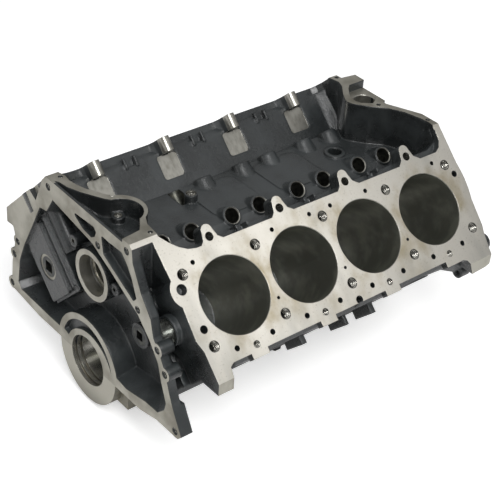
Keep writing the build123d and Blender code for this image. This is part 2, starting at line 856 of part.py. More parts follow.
def lifter_bores():
    """Lifter bores of the right bank, from the valley down into the cam tunnel."""
    with BuildPart() as bores:
        add(post(bank_plane(lifter_base), lifter_places(), lifter_radius, lifter_mouth - lifter_base))
        add(lead_in(bank_plane(lifter_mouth), lifter_places(), lifter_radius, lifter_chamfer))
    return bores.part


def deck_hole_groups():
    """Groups of deck holes: places (u, v), radius and depth."""
    spread = [side * d for d in steam_hole_spread for side in (-1, 1)]
    water = [u + side * water_hole_offset for u in bore_centres for side in (-1, 1)]
    head_bolts = [(u, side * head_bolt_v) for u in head_bolt_row for side in (-1, 1)]
    return [
        (head_bolts, head_bolt_radius, head_bolt_depth),
        ([(u, tab_bolt_v) for u in bore_centres], tab_bolt_radius, tab_thickness + 1),
        ([(u, edge_bolt_v) for u in bore_centres], edge_bolt_radius, edge_bolt_depth),
        ([(bank_middle - dowel_spread, dowel_v)], rear_dowel_radius, dowel_depth),
        ([(bank_middle + dowel_spread, dowel_v)], front_dowel_radius, dowel_depth),
        ([(bank_middle + du, steam_hole_v) for du in spread], steam_hole_radius, water_depth),
        ([(u, saddle_hole_v) for u in bore_gaps], saddle_hole_radius, water_depth),
        ([(u, water_hole_v) for u in water], water_hole_radius, water_depth),
        ([(head_bolt_row[0] - 4, corner_hole_v)], corner_hole_radius, water_depth),
        ([(bank_middle, deck_outer + 4)], edge_notch_radius, water_depth),
    ]


def deck_holes():
    """Threaded, dowel and water holes of the right deck."""
    with BuildPart() as holes:
        for places, radius, depth in deck_hole_groups():
            add(post(bank_plane(deck_height), places, radius, -depth))
    return holes.part


def wall_cuts():
    """Milled patches, drain pockets and core plug seats of the right bank."""
    patch_h = deck_height - tab_thickness - patch_height / 2
    drain_h = deck_height - deck_slab - drain_height / 2
    with BuildPart() as cuts:
        with BuildSketch(side_plane(jacket_valley)) as patches:
            with Locations(*[(u, -patch_h) for u in bore_centres]):
                RectangleRounded(patch_width, patch_height, 5)
        extrude(patches.sketch, amount=patch_depth, both=True)
        with BuildSketch(side_plane(jacket_valley)) as drains:
            with Locations(*[(u, -drain_h) for u in bore_gaps]):
                RectangleRounded(drain_width, drain_height, 2)
        extrude(drains.sketch, amount=drain_depth, both=True)
        seats = side_plane(jacket_outer)
        add(post(seats, [(u, -side_plug_h) for u in bore_gaps], core_plug_radius, core_plug_depth))
    return cuts.part


def drain_ribs():
    """Short cast ribs each side of the drain pockets, right bank."""
    rib_h = deck_height - deck_slab - drain_height / 2
    offset = (drain_width + drain_rib) / 2
    with BuildPart() as ribs:
        with BuildSketch(side_plane(jacket_valley)) as sides:
            with Locations(*[(u + side * offset, -rib_h) for u in bore_gaps for side in (-1, 1)]):
                Rectangle(drain_rib, drain_height + 6)
        extrude(sides.sketch, amount=drain_rib_rise, both=True)
    return ribs.part


def plug_seats():
    """Holes for the core plug, the bank plug and the gallery plugs in both end faces."""
    with BuildPart() as seats:
        rear_mouth = Plane.YZ.offset(rear_plug_face)
        add(post(rear_mouth, [bank_point(rear_plug_v, rear_plug_h)], core_plug_radius, core_plug_depth))
        left_end = Plane.YZ.offset(bank_rear - bank_offset)
        add(post(left_end, [bank_plug_place()], bank_spot_radius, bank_spot_depth))
        add(post(left_end, [bank_plug_place()], bank_plug_radius, pipe_plug_length))
        add(post(Plane.YZ.offset(pipe_plug_face), [pipe_plug_place], pipe_plug_radius, pipe_plug_length))
        add(post(Plane.YZ.offset(small_plug_face), small_plug_places, small_plug_radius, small_plug_length))
        chain_side = Plane.YZ.offset(timing_floor)
        add(post(chain_side, front_plug_places, small_plug_radius, -small_plug_length))
    return seats.part


def bank_plug_place():
    """Place (y, z) of the large socket plug in the end pad of the left bank."""
    y, z = bank_point(end_pad_v, bank_plug_h)
    return (-y, z)


def cap_bolt_places(index):
    """Bolt places (x, y) of one main bearing, with outer bolts on the middle three."""
    ys = [cap_inner_bolt_y]
    if 0 < index < bore_count:
        ys.append(cap_outer_bolt_y)
    return [(main_centres[index], side * y) for y in ys for side in (-1, 1)]


def pan_pads():
    """Machined strips along both sides of the crankcase, where the oil pan seals."""
    with BuildPart() as pads:
        with BuildSketch() as strips:
            middle = ((pan_pad_start + pan_pad_end) / 2, (pan_rail_y + pan_pad_inner) / 2)
            with Locations(middle, (middle[0], -middle[1])):
                Rectangle(pan_pad_end - pan_pad_start, pan_rail_y - pan_pad_inner)
        extrude(strips.sketch, amount=-pan_pad_rise)
    return pads.part


def bottom_holes():
    """Threaded holes for the cap bolts and the oil pan bolts."""
    step = (main_centres[-1] - main_centres[0]) / (pan_bolt_count - 1)
    pan = [(main_centres[0] + step * i, side * pan_bolt_y) for i in range(pan_bolt_count) for side in (-1, 1)]
    caps = [place for index in range(bore_count + 1) for place in cap_bolt_places(index)]
    with BuildPart() as holes:
        add(post(Plane.XY.offset(-pan_pad_rise), pan, pan_bolt_radius, pan_bolt_depth))
        add(post(Plane.XY, caps, cap_bolt_radius + cap_bolt_clearance, cap_bolt_reach + cap_bolt_end_gap))
    return holes.part


def distributor_bore():
    """Distributor hole through the front wall, with its sunk seat open to the front."""
    place = [(distributor_x, distributor_y)]
    seat = Plane.XY.offset(distributor_seat)
    back = [(544, 65), (536, 58), (525, 45), (517, 30), (517, 20), (520, 11), (535, 0), (554, 12)]
    with BuildPart() as bore:
        add(post(seat, place, distributor_radius, cam_height - distributor_seat))
        add(lead_in(seat, place, distributor_radius, distributor_chamfer))
        with BuildSketch(seat) as recess:
            Polygon((front_face + 10, 65), *back, (front_face + 10, 13), align=None)
        extrude(recess.sketch, amount=rail_top - distributor_seat + 1)
    return bore.part


def valley_cuts():
    """Drain hole and sender bore opening on the valley floor."""
    with BuildPart() as cuts:
        ring_top = Plane.XY.offset(valley_floor + drain_ring_rise)
        add(post(ring_top, [(drain_ring_x, 0)], drain_bore_radius, -60))
        boss_top = Plane.XY.offset(valley_floor + sender_boss_rise)
        add(post(boss_top, [sender_place], sender_bore_radius, -30))
        add(lead_in(boss_top, [sender_place], sender_bore_radius, 2))
    return cuts.part


left_collar_places = [place for i, place in enumerate(lifter_places()) if i != relief_lifter]

with BuildPart() as engine_block:
    add(crankcase())
    add(rear_end())
    add(rear_bosses())
    add(both_banks(jacket()))
    add(corner_posts(bank_rear))
    add(left_copy(corner_posts(case_rear + bank_offset)))
    add(left_copy(end_pad()))
    add(left_copy(left_end_plate()))
    add(lifter_bosses(lifter_places()))
    add(left_copy(lifter_bosses(left_collar_places)))
    add(both_banks(outer_bosses()))
    add(both_banks(drain_ribs()))
    add(timing_case())
    add(valley_details())
    add(front_wall())
    add(pan_pads())
    add(deck_slab_part(rear_foot_start, right_end_wall_depth))
    add(left_copy(deck_slab_part(rear_foot_start + bank_offset, left_end_wall_depth)))
    add(left_copy(lifter_relief()), mode=Mode.SUBTRACT)
    add(sender_boss())
    add(main_bays(), mode=Mode.SUBTRACT)
    add(shaft_bores(), mode=Mode.SUBTRACT)
    add(crescent(), mode=Mode.SUBTRACT)
    add(both_banks(cylinder_bores()), mode=Mode.SUBTRACT)
    add(both_banks(lifter_bores()), mode=Mode.SUBTRACT)
    add(both_banks(deck_holes()), mode=Mode.SUBTRACT)
    add(both_banks(wall_cuts()), mode=Mode.SUBTRACT)
    add(plug_seats(), mode=Mode.SUBTRACT)
    add(rail_holes(), mode=Mode.SUBTRACT)
    add(post(Plane.YZ, flange_holes(), flange_hole_radius, flange_hole_depth), mode=Mode.SUBTRACT)
    add(bottom_holes(), mode=Mode.SUBTRACT)
    add(distributor_bore(), mode=Mode.SUBTRACT)
    add(valley_cuts(), mode=Mode.SUBTRACT)
engine_block.part.label = "engine_block"


def cap_profile(index):
    """Section points (y, z) of the right half of a main bearing cap."""
    foot = [(-cap_step_y, -cap_inner_seat), (-cap_foot_y, -cap_inner_seat), (-cap_foot_y, -cap_bottom)]
    if index < bore_count:
        return [(-cap_half_width, 0), (-cap_half_width, -cap_outer_seat),
                (-cap_step_y, -cap_outer_seat)] + foot
    return [(-end_cap_half_width, 0)] + foot


def bearing_cap(index):
    """Main bearing cap with its half bore and bolt holes."""
    start = main_centres[index] - bulkhead_thickness / 2
    with BuildPart() as cap:
        with BuildSketch(Plane.YZ.offset(start)) as section:
            Polygon(*mirrored(cap_profile(index)), align=None)
        extrude(section.sketch, amount=bulkhead_thickness)
        fillet(cap.edges().filter_by(Axis.X).group_by(Axis.Z)[0], cap_foot_fillet)
        add(post(Plane.YZ.offset(start), [(0, 0)], crank_bore_radius, bulkhead_thickness), mode=Mode.SUBTRACT)
        clearance = cap_bolt_radius + cap_bolt_clearance
        add(post(Plane.XY, cap_bolt_places(index), clearance, -cap_bottom), mode=Mode.SUBTRACT)
    return cap.part


def rear_cap():
    """Rear main bearing cap: lower half of the seal ring with side ears and sunk bolts."""
    length = main_centres[0] + bulkhead_thickness / 2
    with BuildPart() as cap:
        with BuildSketch(Plane.YZ) as ring:
            Circle(seal_cap_radius)
            with Locations((0, seal_cap_radius)):
                Rectangle(2 * seal_cap_radius, 2 * seal_cap_radius, mode=Mode.SUBTRACT)
        extrude(ring.sketch, amount=length)
        with BuildSketch(Plane.YZ.offset(rear_cap_ear_start)) as ears:
            with Locations((0, -rear_cap_ear_z / 2)):
                Rectangle(2 * rear_cap_ear_y, rear_cap_ear_z)
        extrude(ears.sketch, amount=recess_floor + recess_back - rear_cap_ear_start)
        add(post(Plane.YZ, [(0, 0)], crank_bore_radius, length), mode=Mode.SUBTRACT)
        for groove in seal_groove_starts:
            add(post(Plane.YZ.offset(groove), [(0, 0)], seal_groove_radius, seal_groove_width),
                mode=Mode.SUBTRACT)
        places = cap_bolt_places(0)
        add(post(Plane.XY, places, cap_bolt_radius + cap_bolt_clearance, -cap_bottom), mode=Mode.SUBTRACT)
        add(post(Plane.XY.offset(-cap_outer_seat), places, cap_spot_radius, -cap_bottom), mode=Mode.SUBTRACT)
    return cap.part


def cap_bolt(x, y, seat):
    """Hex bolt with a washer face, screwed up through a cap seat into the block."""
    head = seat + cap_washer_height
    with BuildPart() as bolt:
        add(post(Plane.XY.offset(-seat), [(x, y)], cap_bolt_radius, seat + cap_bolt_reach))
        add(post(Plane.XY.offset(-seat), [(x, y)], cap_washer_radius, -cap_washer_height))
        with BuildSketch(Plane.XY.offset(-head)) as hexagon:
            with Locations((x, y)):
                RegularPolygon(cap_hex_flats / 2, 6, major_radius=False)
        extrude(hexagon.sketch, amount=-cap_hex_height)
    return bolt.part


def cam_bearing(index):
    """Bushing of one camshaft journal, pressed into the cam tunnel."""
    with BuildPart() as bearing:
        with BuildSketch(Plane.YZ.offset(main_centres[index] - cam_bearing_length / 2)) as ring:
            with Locations((0, cam_height)):
                Circle(cam_bore_radius - plug_gap)
                Circle(cam_bearing_bore, mode=Mode.SUBTRACT)
        extrude(ring.sketch, amount=cam_bearing_length)
    return bearing.part


def core_plug(mouth, place):
    """Dished core plug pressed in at a place on the mouth plane, which faces inwards."""
    rim = core_plug_radius - plug_gap
    with BuildPart() as cup:
        add(post(mouth.offset(core_plug_inset), [place], rim, core_plug_depth - core_plug_inset))
        add(post(mouth, [place], rim - core_plug_sheet, core_plug_depth - core_plug_sheet),
            mode=Mode.SUBTRACT)
    return cup.part


def socket_plug(mouth, place, radius, length, socket):
    """Round plug with a square key socket, reaching length from the mouth plane."""
    key_depth = socket_depth if length > 0 else -socket_depth
    with BuildPart() as plug:
        add(post(mouth, [place], radius - plug_gap, length))
        with BuildSketch(mouth) as key:
            with Locations(place):
                Rectangle(socket, socket)
        extrude(key.sketch, amount=key_depth, mode=Mode.SUBTRACT)
    return plug.part


def save(part, name):
    """Labels a finished piece and writes its STEP file."""
    part.label = name
    export_step(part, f"parts/{name}.step")


os.makedirs("parts", exist_ok=True)
export_step(engine_block.part, "parts/engine_block.step")

# Bearing caps, their bolts and the cam bearings, numbered from the rear
save(rear_cap(), "main_cap_1")
for index in range(1, bore_count + 1):
    save(bearing_cap(index), f"main_cap_{index + 1}")
for index in range(bore_count + 1):
    save(cam_bearing(index), f"cam_bearing_{index + 1}")
    for x, y in cap_bolt_places(index):
        row = "outer" if abs(y) == cap_outer_bolt_y else "inner"
        seat = cap_outer_seat if row == "outer" or index == 0 else cap_inner_seat
        side = "left" if y > 0 else "right"
        save(cap_bolt(x, y, seat), f"cap_{index + 1}_{row}_bolt_{side}")

# Core plugs of both banks
for number, u in enumerate(bore_gaps, start=1):
    plug = core_plug(side_plane(jacket_outer), (u, -side_plug_h))
    save(left_copy(plug), f"left_core_plug_{number}")
    save(plug, f"right_core_plug_{number}")
save(core_plug(Plane.YZ.offset(rear_plug_face), bank_point(rear_plug_v, rear_plug_h)), "rear_core_plug")

# Plugs with key sockets
bank_mouth = Plane.YZ.offset(bank_rear - bank_offset + bank_spot_depth)
save(socket_plug(bank_mouth, bank_plug_place(), bank_plug_radius, pipe_plug_length - bank_spot_depth,
                 bank_plug_socket), "left_bank_end_plug")
save(socket_plug(Plane.YZ.offset(pipe_plug_face), pipe_plug_place, pipe_plug_radius, pipe_plug_length,
                 pipe_plug_socket), "rear_pipe_plug")
for side, place in zip(("left", "right"), small_plug_places):
    save(socket_plug(Plane.YZ.offset(small_plug_face), place, small_plug_radius, small_plug_length,
                     small_plug_socket), f"rear_gallery_plug_{side}")
for side, place in zip(("right", "left"), front_plug_places):
    save(socket_plug(Plane.YZ.offset(timing_floor), place, small_plug_radius, -small_plug_length,
                     small_plug_socket), f"front_gallery_plug_{side}")
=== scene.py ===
"""Finishes and studio for a bare V8 engine block, dressed round its CAD frame."""
import math

import bmesh
import bpy
from bpy.props import FloatProperty, FloatVectorProperty, IntProperty, PointerProperty
from mathutils import Matrix, Vector


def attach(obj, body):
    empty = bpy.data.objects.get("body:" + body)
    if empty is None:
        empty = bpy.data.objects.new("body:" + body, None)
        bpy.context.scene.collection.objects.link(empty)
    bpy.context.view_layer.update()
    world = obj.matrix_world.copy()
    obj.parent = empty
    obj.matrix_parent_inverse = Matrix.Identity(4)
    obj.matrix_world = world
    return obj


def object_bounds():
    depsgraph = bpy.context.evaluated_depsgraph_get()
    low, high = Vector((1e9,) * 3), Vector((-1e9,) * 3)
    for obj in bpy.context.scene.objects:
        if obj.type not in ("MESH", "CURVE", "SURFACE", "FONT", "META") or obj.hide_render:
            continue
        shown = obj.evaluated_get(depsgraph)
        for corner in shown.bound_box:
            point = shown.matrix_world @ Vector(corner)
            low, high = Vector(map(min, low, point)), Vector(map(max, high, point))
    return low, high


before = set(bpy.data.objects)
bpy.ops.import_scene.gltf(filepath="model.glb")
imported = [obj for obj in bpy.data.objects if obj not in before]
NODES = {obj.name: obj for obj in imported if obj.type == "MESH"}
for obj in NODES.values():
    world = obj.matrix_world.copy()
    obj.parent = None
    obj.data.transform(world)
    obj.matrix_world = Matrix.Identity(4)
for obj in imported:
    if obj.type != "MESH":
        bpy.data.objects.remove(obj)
CAD_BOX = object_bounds()

bl_info = {
    "name": "V8 Block Dresser",
    "version": (1, 0, 0),
    "blender": (4, 5, 0),
    "location": "View3D > Sidebar > Block",
    "description": "Cast and machined finishes, cut threads and a studio for a bare engine block",
    "category": "Object",
}

MM = 1000.0
FORWARD, SIDEWAYS, UP = Vector((1, 0, 0)), Vector((0, 1, 0)), Vector((0, 0, 1))

# Banks, decks and bores, in millimetres as the solids have them. On a bank, u runs
# forward, v up across the deck and h up along the bores. A reach is the distance from
# an axis up to which a face is taken to belong to its bore, ring or hole.
SLOPE = math.sqrt(0.5)
BANK_OFFSET = 28.0
DECK_HEIGHT = 258.4
FIRST_BORE = 117.5
BORE_SPACING = 124.46
BORE_COUNT = 4
BORE_RADIUS = 55.2
BORE_FLOOR = 96.0
BORE_CHAMFER = 1.5
BORE_RIM_DEPTH = 1.0
STAIN_RING = (57.0, 84.0)
FIRST_POST = FIRST_BORE - BORE_SPACING / 2

# Ends, rails, feet and shaft tunnels
FRONT_FACE = 577.0
FRONT_STEP = 2.5
RAIL_TOP = 264.0
FOOT_SIDE = 254.0
PLUG_SPOT_FACE = 6.5
CRANK_HEIGHT = 0.0
CRANK_REACH = 41.0
CAM_HEIGHT = 150.0
CAM_REACH = 32.0
CAM_RING_FACE = 8.0
CAM_RING_REACH = 41.0
CAP_FOOT = -78.0
CAP_MIDDLE = -30.0

# Valley: patches on its walls, lifter bores, distributor seat and sender bosses
VALLEY_FLOOR = 180.0
PATCH_WALL = 82.4
PATCH_HALF = 18.3
PATCH_FOOT = 197.0
LIFTER_ROW = 106.0
LIFTER_OFFSET = 26.0
LIFTER_FLOOR = 112.0
LIFTER_MOUTH = 180.0
LIFTER_REACH = 11.4
LIFTER_RIM_REACH = 12.75
LIFTER_CHAMFER = 1.6
DISTRIBUTOR = (549.0, 33.0)
DISTRIBUTOR_SEAT = 250.0
DISTRIBUTOR_START = 510.0
DISTRIBUTOR_REACH = 19.6
SENDER = (196.0, 20.0)
SENDER_TOP = 209.0
SENDER_REACH = 8.2
POCKET_SENDER = (46.0, -10.0)
POCKET_SENDER_TOP = 243.0
POCKET_SENDER_REACH = 6.3

# Tapped holes: rows, radii, reaches and places on the end faces and the rails
HEAD_BOLT_ROW = 52.0
HEAD_BOLT_RADIUS = 8.2
HEAD_BOLT_REACH = 8.6
EDGE_BOLT_ROW = -73.0
EDGE_BOLT_RADIUS = 5.25
EDGE_BOLT_REACH = 5.6
TAB_BOLT_ROW = 86.0
TAB_BOLT_REACH = 6.8
TAB_FOOT = 235.4
TAB_WALL = 84.6
TAB_HALF = 9.7
TAPPED_FLOOR = 205.0
FLANGE_HOLE_RADIUS = 5.8
TIMING_BOLT_RADIUS = 4.0
RAIL_HOLE_RADIUS = 3.6
SENDER_RADIUS = 6.0
SHADED_PITCH = 1.8
FLANGE_HOLES = (
    (-95, 250), (95, 250), (-28, 221), (-122, 170), (-167, 130), (-185, 100),
    (-212, 19), (185, 106), (196, 77), (206, 18),
)
RAIL_HOLES = ((17, 89), (49, 9), (40, -93), (544, 95), (539, -8), (570, -85))
TIMING_BOLTS = ((-112, 12), (-112, 46), (-88, 104), (-87, 140), (-136, 206), (-84, 178))

# How near to a face a point has to be
NEAR = 0.3
NEARLY = 0.4
MARGIN = 0.1

# Parts of the normal: at least these on flat faces, at most these on walls round an axis
FLAT = 0.97
PATCH_FLAT = 0.9
BANK_WALL = 0.6
TUNNEL_WALL = 0.5
DRUM_WALL = 0.99
SENDER_WALL = 0.9

# Radius of the broken edges of small metal parts, in metres
SMALL_ROUND = 0.0008

# Shape of a thread: its foot's seat in the wall in metres and its half width in pitches
THREAD_SEAT = 0.00005
THREAD_HALF = 0.36

# Camera solved from the photograph: axes, place in metres and lens in millimetres
CAMERA_RIGHT = Vector((0.77320, -0.63151, 0.05790))
CAMERA_DOWN = Vector((-0.32532, -0.47336, -0.81859))
CAMERA_FORWARD = Vector((0.54436, 0.61410, -0.57145))
CAMERA_PLACE = Vector((-0.87345, -1.32448, 1.31011))
CAMERA_LENS = 100.6
CAMERA_SENSOR = 36.0
CAMERA_RANGE = 50.0

# Lamps: name, place and side in metres, setting of the power and share in the gloss
LAMPS = (
    ("key_lamp", (-0.7, -1.9, 2.3), 1.3, "key", 1.0),
    ("fill_lamp", (-2.6, 0.6, 0.9), 1.4, "fill", 0.1),
    ("sheen_lamp", (1.08, -1.17, 1.24), 0.5, "sheen", 1.0),
)

# Floor: its middle along X and its gap to the block in metres, its tone and its glow to
# the camera. Sky: the height, as part of a whole, from which it is at its brightest.
FLOOR_MIDDLE = 0.3
FLOOR_GAP = 0.001
FLOOR_WHITE = 0.92
FLOOR_GLOW = 0.5
SKY_TOP = 0.9


def linear(*srgb):
    """Linear colour of an sRGB colour given in steps of 255."""
    return tuple(
        c / 255 / 12.92 if c <= 10 else ((c / 255 + 0.055) / 1.055) ** 2.4 for c in srgb
    )


# Second tones, which the noises mix into the main ones
CAST_GRAIN = linear(84, 89, 92)
DECK_WORN = linear(176, 175, 168)
DECK_SPECK = linear(150, 144, 126)
FLANGE_CLOUD = linear(138, 134, 122)
BORE_STREAK = linear(170, 170, 158)
# Painted shade inside the lifter bores, in two dark tones that a noise mixes
LIFTER_SHADE_DARK = linear(58, 59, 55)
LIFTER_SHADE_PALE = linear(88, 88, 80)
STEEL_CLOUD = linear(140, 138, 129)
CREST_WORN = linear(170, 168, 160)
CAP_CLOUD = linear(150, 144, 128)
# Painted shade at the foot of the bearing caps
CAP_LOW_SHADE = linear(92, 90, 80)
BOLT_WORN = linear(70, 70, 72)
BEARING_WORN = linear(168, 164, 150)
PLUG_WORN = linear(128, 130, 126)
SOCKET_PLUG_WORN = linear(104, 104, 98)


def colour(name, words, *srgb):
    """Colour property with its default given in steps of 255."""
    return FloatVectorProperty(
        name=name, description=words, subtype="COLOR", size=3, min=0, max=1, default=linear(*srgb)
    )


class BlockFinish(bpy.types.PropertyGroup):
    casting: colour("Casting", "Oiled dark iron as cast", 54, 58, 59)
    # The second casting colour is both the darker patches and painted shade, which steep and
    # downward faces fade to
    casting_patch_and_shade: colour("Casting, deep", "Iron in its darker patches", 20, 22, 22)
    deck: colour("Deck", "Freshly milled deck faces", 222, 218, 208)
    deck_stain: colour("Deck stain", "Faint oil stain on the milled deck", 178, 166, 138)
    flange: colour("Flange", "Duller milled ends, rails and feet", 188, 185, 174)
    bore: colour("Bore", "Honed cylinder walls under oil", 138, 139, 129)
    steel: colour("Steel", "Bored tunnels, tab posts and milled patches", 176, 174, 166)
    # The tapped walls are painted darker than cut iron, as painted shade inside the holes
    thread: colour("Thread", "Walls of the tapped holes", 104, 103, 97)
    crest: colour("Thread crest", "Bright crests of the cut threads", 214, 212, 204)
    cap: colour("Caps", "Machined iron of the bearing caps", 132, 130, 122)
    bolt: colour("Bolts", "Black bolts of the bearing caps", 46, 47, 50)
    bearing: colour("Cam bearings", "Bright bearing metal", 206, 202, 190)
    plug: colour("Core plugs", "Pressed steel cups", 182, 184, 180)
    socket_plug: colour("Socket plugs", "Dark threaded plugs", 70, 72, 72)
    casting_grain: FloatProperty(
        name="Casting grain", description="Height of the sand grain in millimetres", default=0.34,
        min=0, max=1,
    )
    edge_round: FloatProperty(
        name="Edge round", description="Radius of the broken machined edges", default=0.001,
        min=0, max=0.01, subtype="DISTANCE", unit="LENGTH",
    )
    cast_round: FloatProperty(
        name="Cast round", description="Radius of the cast corners and edges", default=0.0055,
        min=0, max=0.02, subtype="DISTANCE", unit="LENGTH",
    )


class ThreadSizes(bpy.types.PropertyGroup):
    pitch: FloatProperty(
        name="Pitch", description="Rise of a thread in one turn", default=0.0018,
        min=0.0005, max=0.004, subtype="DISTANCE", unit="LENGTH",
    )
    depth: FloatProperty(
        name="Depth", description="How far a thread stands in from its hole", default=0.0007,
        min=0.0002, max=0.002, subtype="DISTANCE", unit="LENGTH",
    )
    turns: IntProperty(
        name="Turns", description="Turns cut in a deep hole", default=8, min=1, max=20
    )
    steps: IntProperty(
        name="Steps", description="Steps in one turn", default=24, min=8, max=64
    )
    start: FloatProperty(
        name="Start", description="Plain mouth above the first turn", default=0.0025,
        min=0, max=0.01, subtype="DISTANCE", unit="LENGTH",
    )


class StudioSizes(bpy.types.PropertyGroup):
    floor_size: FloatProperty(
        name="Floor size", description="Side of the square floor", default=14.0,
        min=2, max=40, subtype="DISTANCE", unit="LENGTH",
    )
    sky: FloatProperty(
        name="Sky", description="Strength of the soft light overhead", default=0.55, min=0, max=2
    )
    horizon: FloatProperty(
        name="Horizon", description="Strength of the soft light from the sides", default=0.1,
        min=0, max=2,
    )
    key: FloatProperty(
        name="Key", description="Power of the large key lamp", default=60.0,
        min=0, max=500, subtype="POWER",
    )
    fill: FloatProperty(
        name="Fill", description="Power of the low fill lamp", default=7.0,
        min=0, max=500, subtype="POWER",
    )
    sheen: FloatProperty(
        name="Sheen", description="Power of the lamp that the deck mirrors", default=1.25,
        min=0, max=500, subtype="POWER",
    )


class Sock:
    """A shader socket that adds its Math nodes when it is used in an expression."""

    def __init__(self, net, link):
        self.net, self.link = net, link

    def math(self, operation, *others):
        """Math node with this socket first."""
        return self.net.node("ShaderNodeMath", {"operation": operation}, [self, *others])

    def __add__(self, other):
        return self.math("ADD", other)

    __radd__ = __add__

    def __sub__(self, other):
        return self.math("SUBTRACT", other)

    def __rsub__(self, other):
        return self.net.node("ShaderNodeMath", {"operation": "SUBTRACT"}, [other, self])

    def __mul__(self, other):
        return self.math("MULTIPLY", other)

    def __truediv__(self, other):
        return self.math("DIVIDE", other)

    def __abs__(self):
        return self.math("ABSOLUTE")

    def __lt__(self, other):
        return self.math("LESS_THAN", other)

    def __gt__(self, other):
        return self.math("GREATER_THAN", other)

    def near(self, value, reach):
        """1 within a reach of a value."""
        return self.math("COMPARE", value, reach)

    def most(self, other):
        """The larger of two."""
        return self.math("MAXIMUM", other)

    def least(self, other):
        """The smaller of two."""
        return self.math("MINIMUM", other)

    def hypot(self, other):
        """Length of a vector with these two parts."""
        return (self * self + other * other).math("SQRT")

    def fade(self, low, high, at_low=0.0, at_high=1.0):
        """Smooth step between two values of this socket."""
        return self.net.node(
            "ShaderNodeMapRange", {"interpolation_type": "SMOOTHSTEP"},
            {"Value": self, "From Min": low, "From Max": high, "To Min": at_low, "To Max": at_high},
        )


class Net:
    """One material or world and the nodes that its expressions add."""

    def __init__(self, name, library="materials"):
        self.owner = getattr(bpy.data, library).new(name)
        self.owner.use_nodes = True
        self.tree = self.owner.node_tree
        self.tree.nodes.clear()

    def node(self, kind, settings=None, sockets=(), out=0):
        """New node: its settings, then its sockets' values or links, and one output."""
        made = self.tree.nodes.new(kind)
        for key, value in (settings or {}).items():
            setattr(made, key, value)
        pairs = sockets.items() if isinstance(sockets, dict) else enumerate(sockets)
        for key, value in pairs:
            if isinstance(value, Sock):
                self.tree.links.new(value.link, made.inputs[key])
            else:
                made.inputs[key].default_value = value
        return Sock(self, made.outputs[out]) if made.outputs else None

    def split(self, vector):
        """The three parts of a vector socket."""
        made = self.tree.nodes.new("ShaderNodeSeparateXYZ")
        self.tree.links.new(vector.link, made.inputs[0])
        return [Sock(self, part) for part in made.outputs]

    def millimetres(self):
        """Object coordinates in millimetres."""
        place = self.node("ShaderNodeTexCoord", out="Object")
        return self.node("ShaderNodeVectorMath", {"operation": "SCALE"}, {0: place, "Scale": MM})

    def squeezed(self, place, *scale):
        """Place with each part scaled, for streaks."""
        return self.node("ShaderNodeVectorMath", {"operation": "MULTIPLY"}, [place, scale])

    def noise(self, place, scale, detail=3.0, roughness=0.55):
        """Soft noise around 0.5, with its scale in waves per millimetre."""
        return self.node(
            "ShaderNodeTexNoise", {},
            {"Vector": place, "Scale": scale, "Detail": detail, "Roughness": roughness},
        )

    def mix(self, factor, *colours):
        """Colour between two others."""
        first, second = (c if isinstance(c, Sock) else (*c, 1) for c in colours)
        sockets = {0: factor, 6: first, 7: second}
        return self.node("ShaderNodeMix", {"data_type": "RGBA"}, sockets, out=2)

    def either(self, factor, first, second):
        """Vector between two others."""
        sockets = {0: factor, 4: first, 5: second}
        return self.node("ShaderNodeMix", {"data_type": "VECTOR"}, sockets, out=1)

    def rounded(self, radius, samples=4):
        """Normal that runs round the edges with a radius."""
        return self.node("ShaderNodeBevel", {"samples": samples}, {"Radius": radius})

    def bump(self, height, normal):
        """Normal from a height in millimetres over another normal."""
        return self.node(
            "ShaderNodeBump", {},
            {"Height": height, "Strength": 1.0, "Distance": 1 / MM, "Normal": normal},
        )

    def finish(self, sockets):
        """Principled shader with these sockets, wired to the output."""
        shader = self.node("ShaderNodeBsdfPrincipled", {}, sockets)
        self.node("ShaderNodeOutputMaterial", {}, [shader])
        return self.owner


def blend(mask, off, on):
    """Value that goes from off to on with a mask."""
    return off + mask * (on - off)


class Place:
    """Where a shaded point is on the block, in shaft and bank directions."""

    def __init__(self, net):
        self.spot = net.millimetres()
        self.x, self.y, self.z = net.split(self.spot)
        normal = net.node("ShaderNodeNewGeometry", out="True Normal")
        self.nx, self.ny, self.nz = net.split(normal)
        self.left = self.y > 0.0
        side = self.left * 2.0 - 1.0
        self.across = abs(self.y)
        self.u = self.x + self.left * BANK_OFFSET
        self.v = (self.z - self.across) * SLOPE
        self.h = (self.z + self.across) * SLOPE
        self.up = (self.nz + self.ny * side) * SLOPE
        self.inward = (self.nz - self.ny * side) * SLOPE
        self.wall = abs(self.up) < BANK_WALL
        self.du = self.from_row(FIRST_BORE, BORE_COUNT)
        self.dp = self.from_row(FIRST_POST, BORE_COUNT + 1)
        self.bore = self.du.hypot(self.v)

    def from_row(self, first, count):
        """Distance along the block from the nearest of a row of places."""
        index = ((self.u - first) / BORE_SPACING).math("ROUND").most(0.0).least(count - 1.0)
        return self.u - first - index * BORE_SPACING

    def round_shaft(self, height):
        """Distance from a shaft's axis at a height."""
        return self.y.hypot(self.z - height)

    def round_post(self, place):
        """Distance from an upright axis at a place in the valley."""
        return (self.x - place[0]).hypot(self.y - place[1])


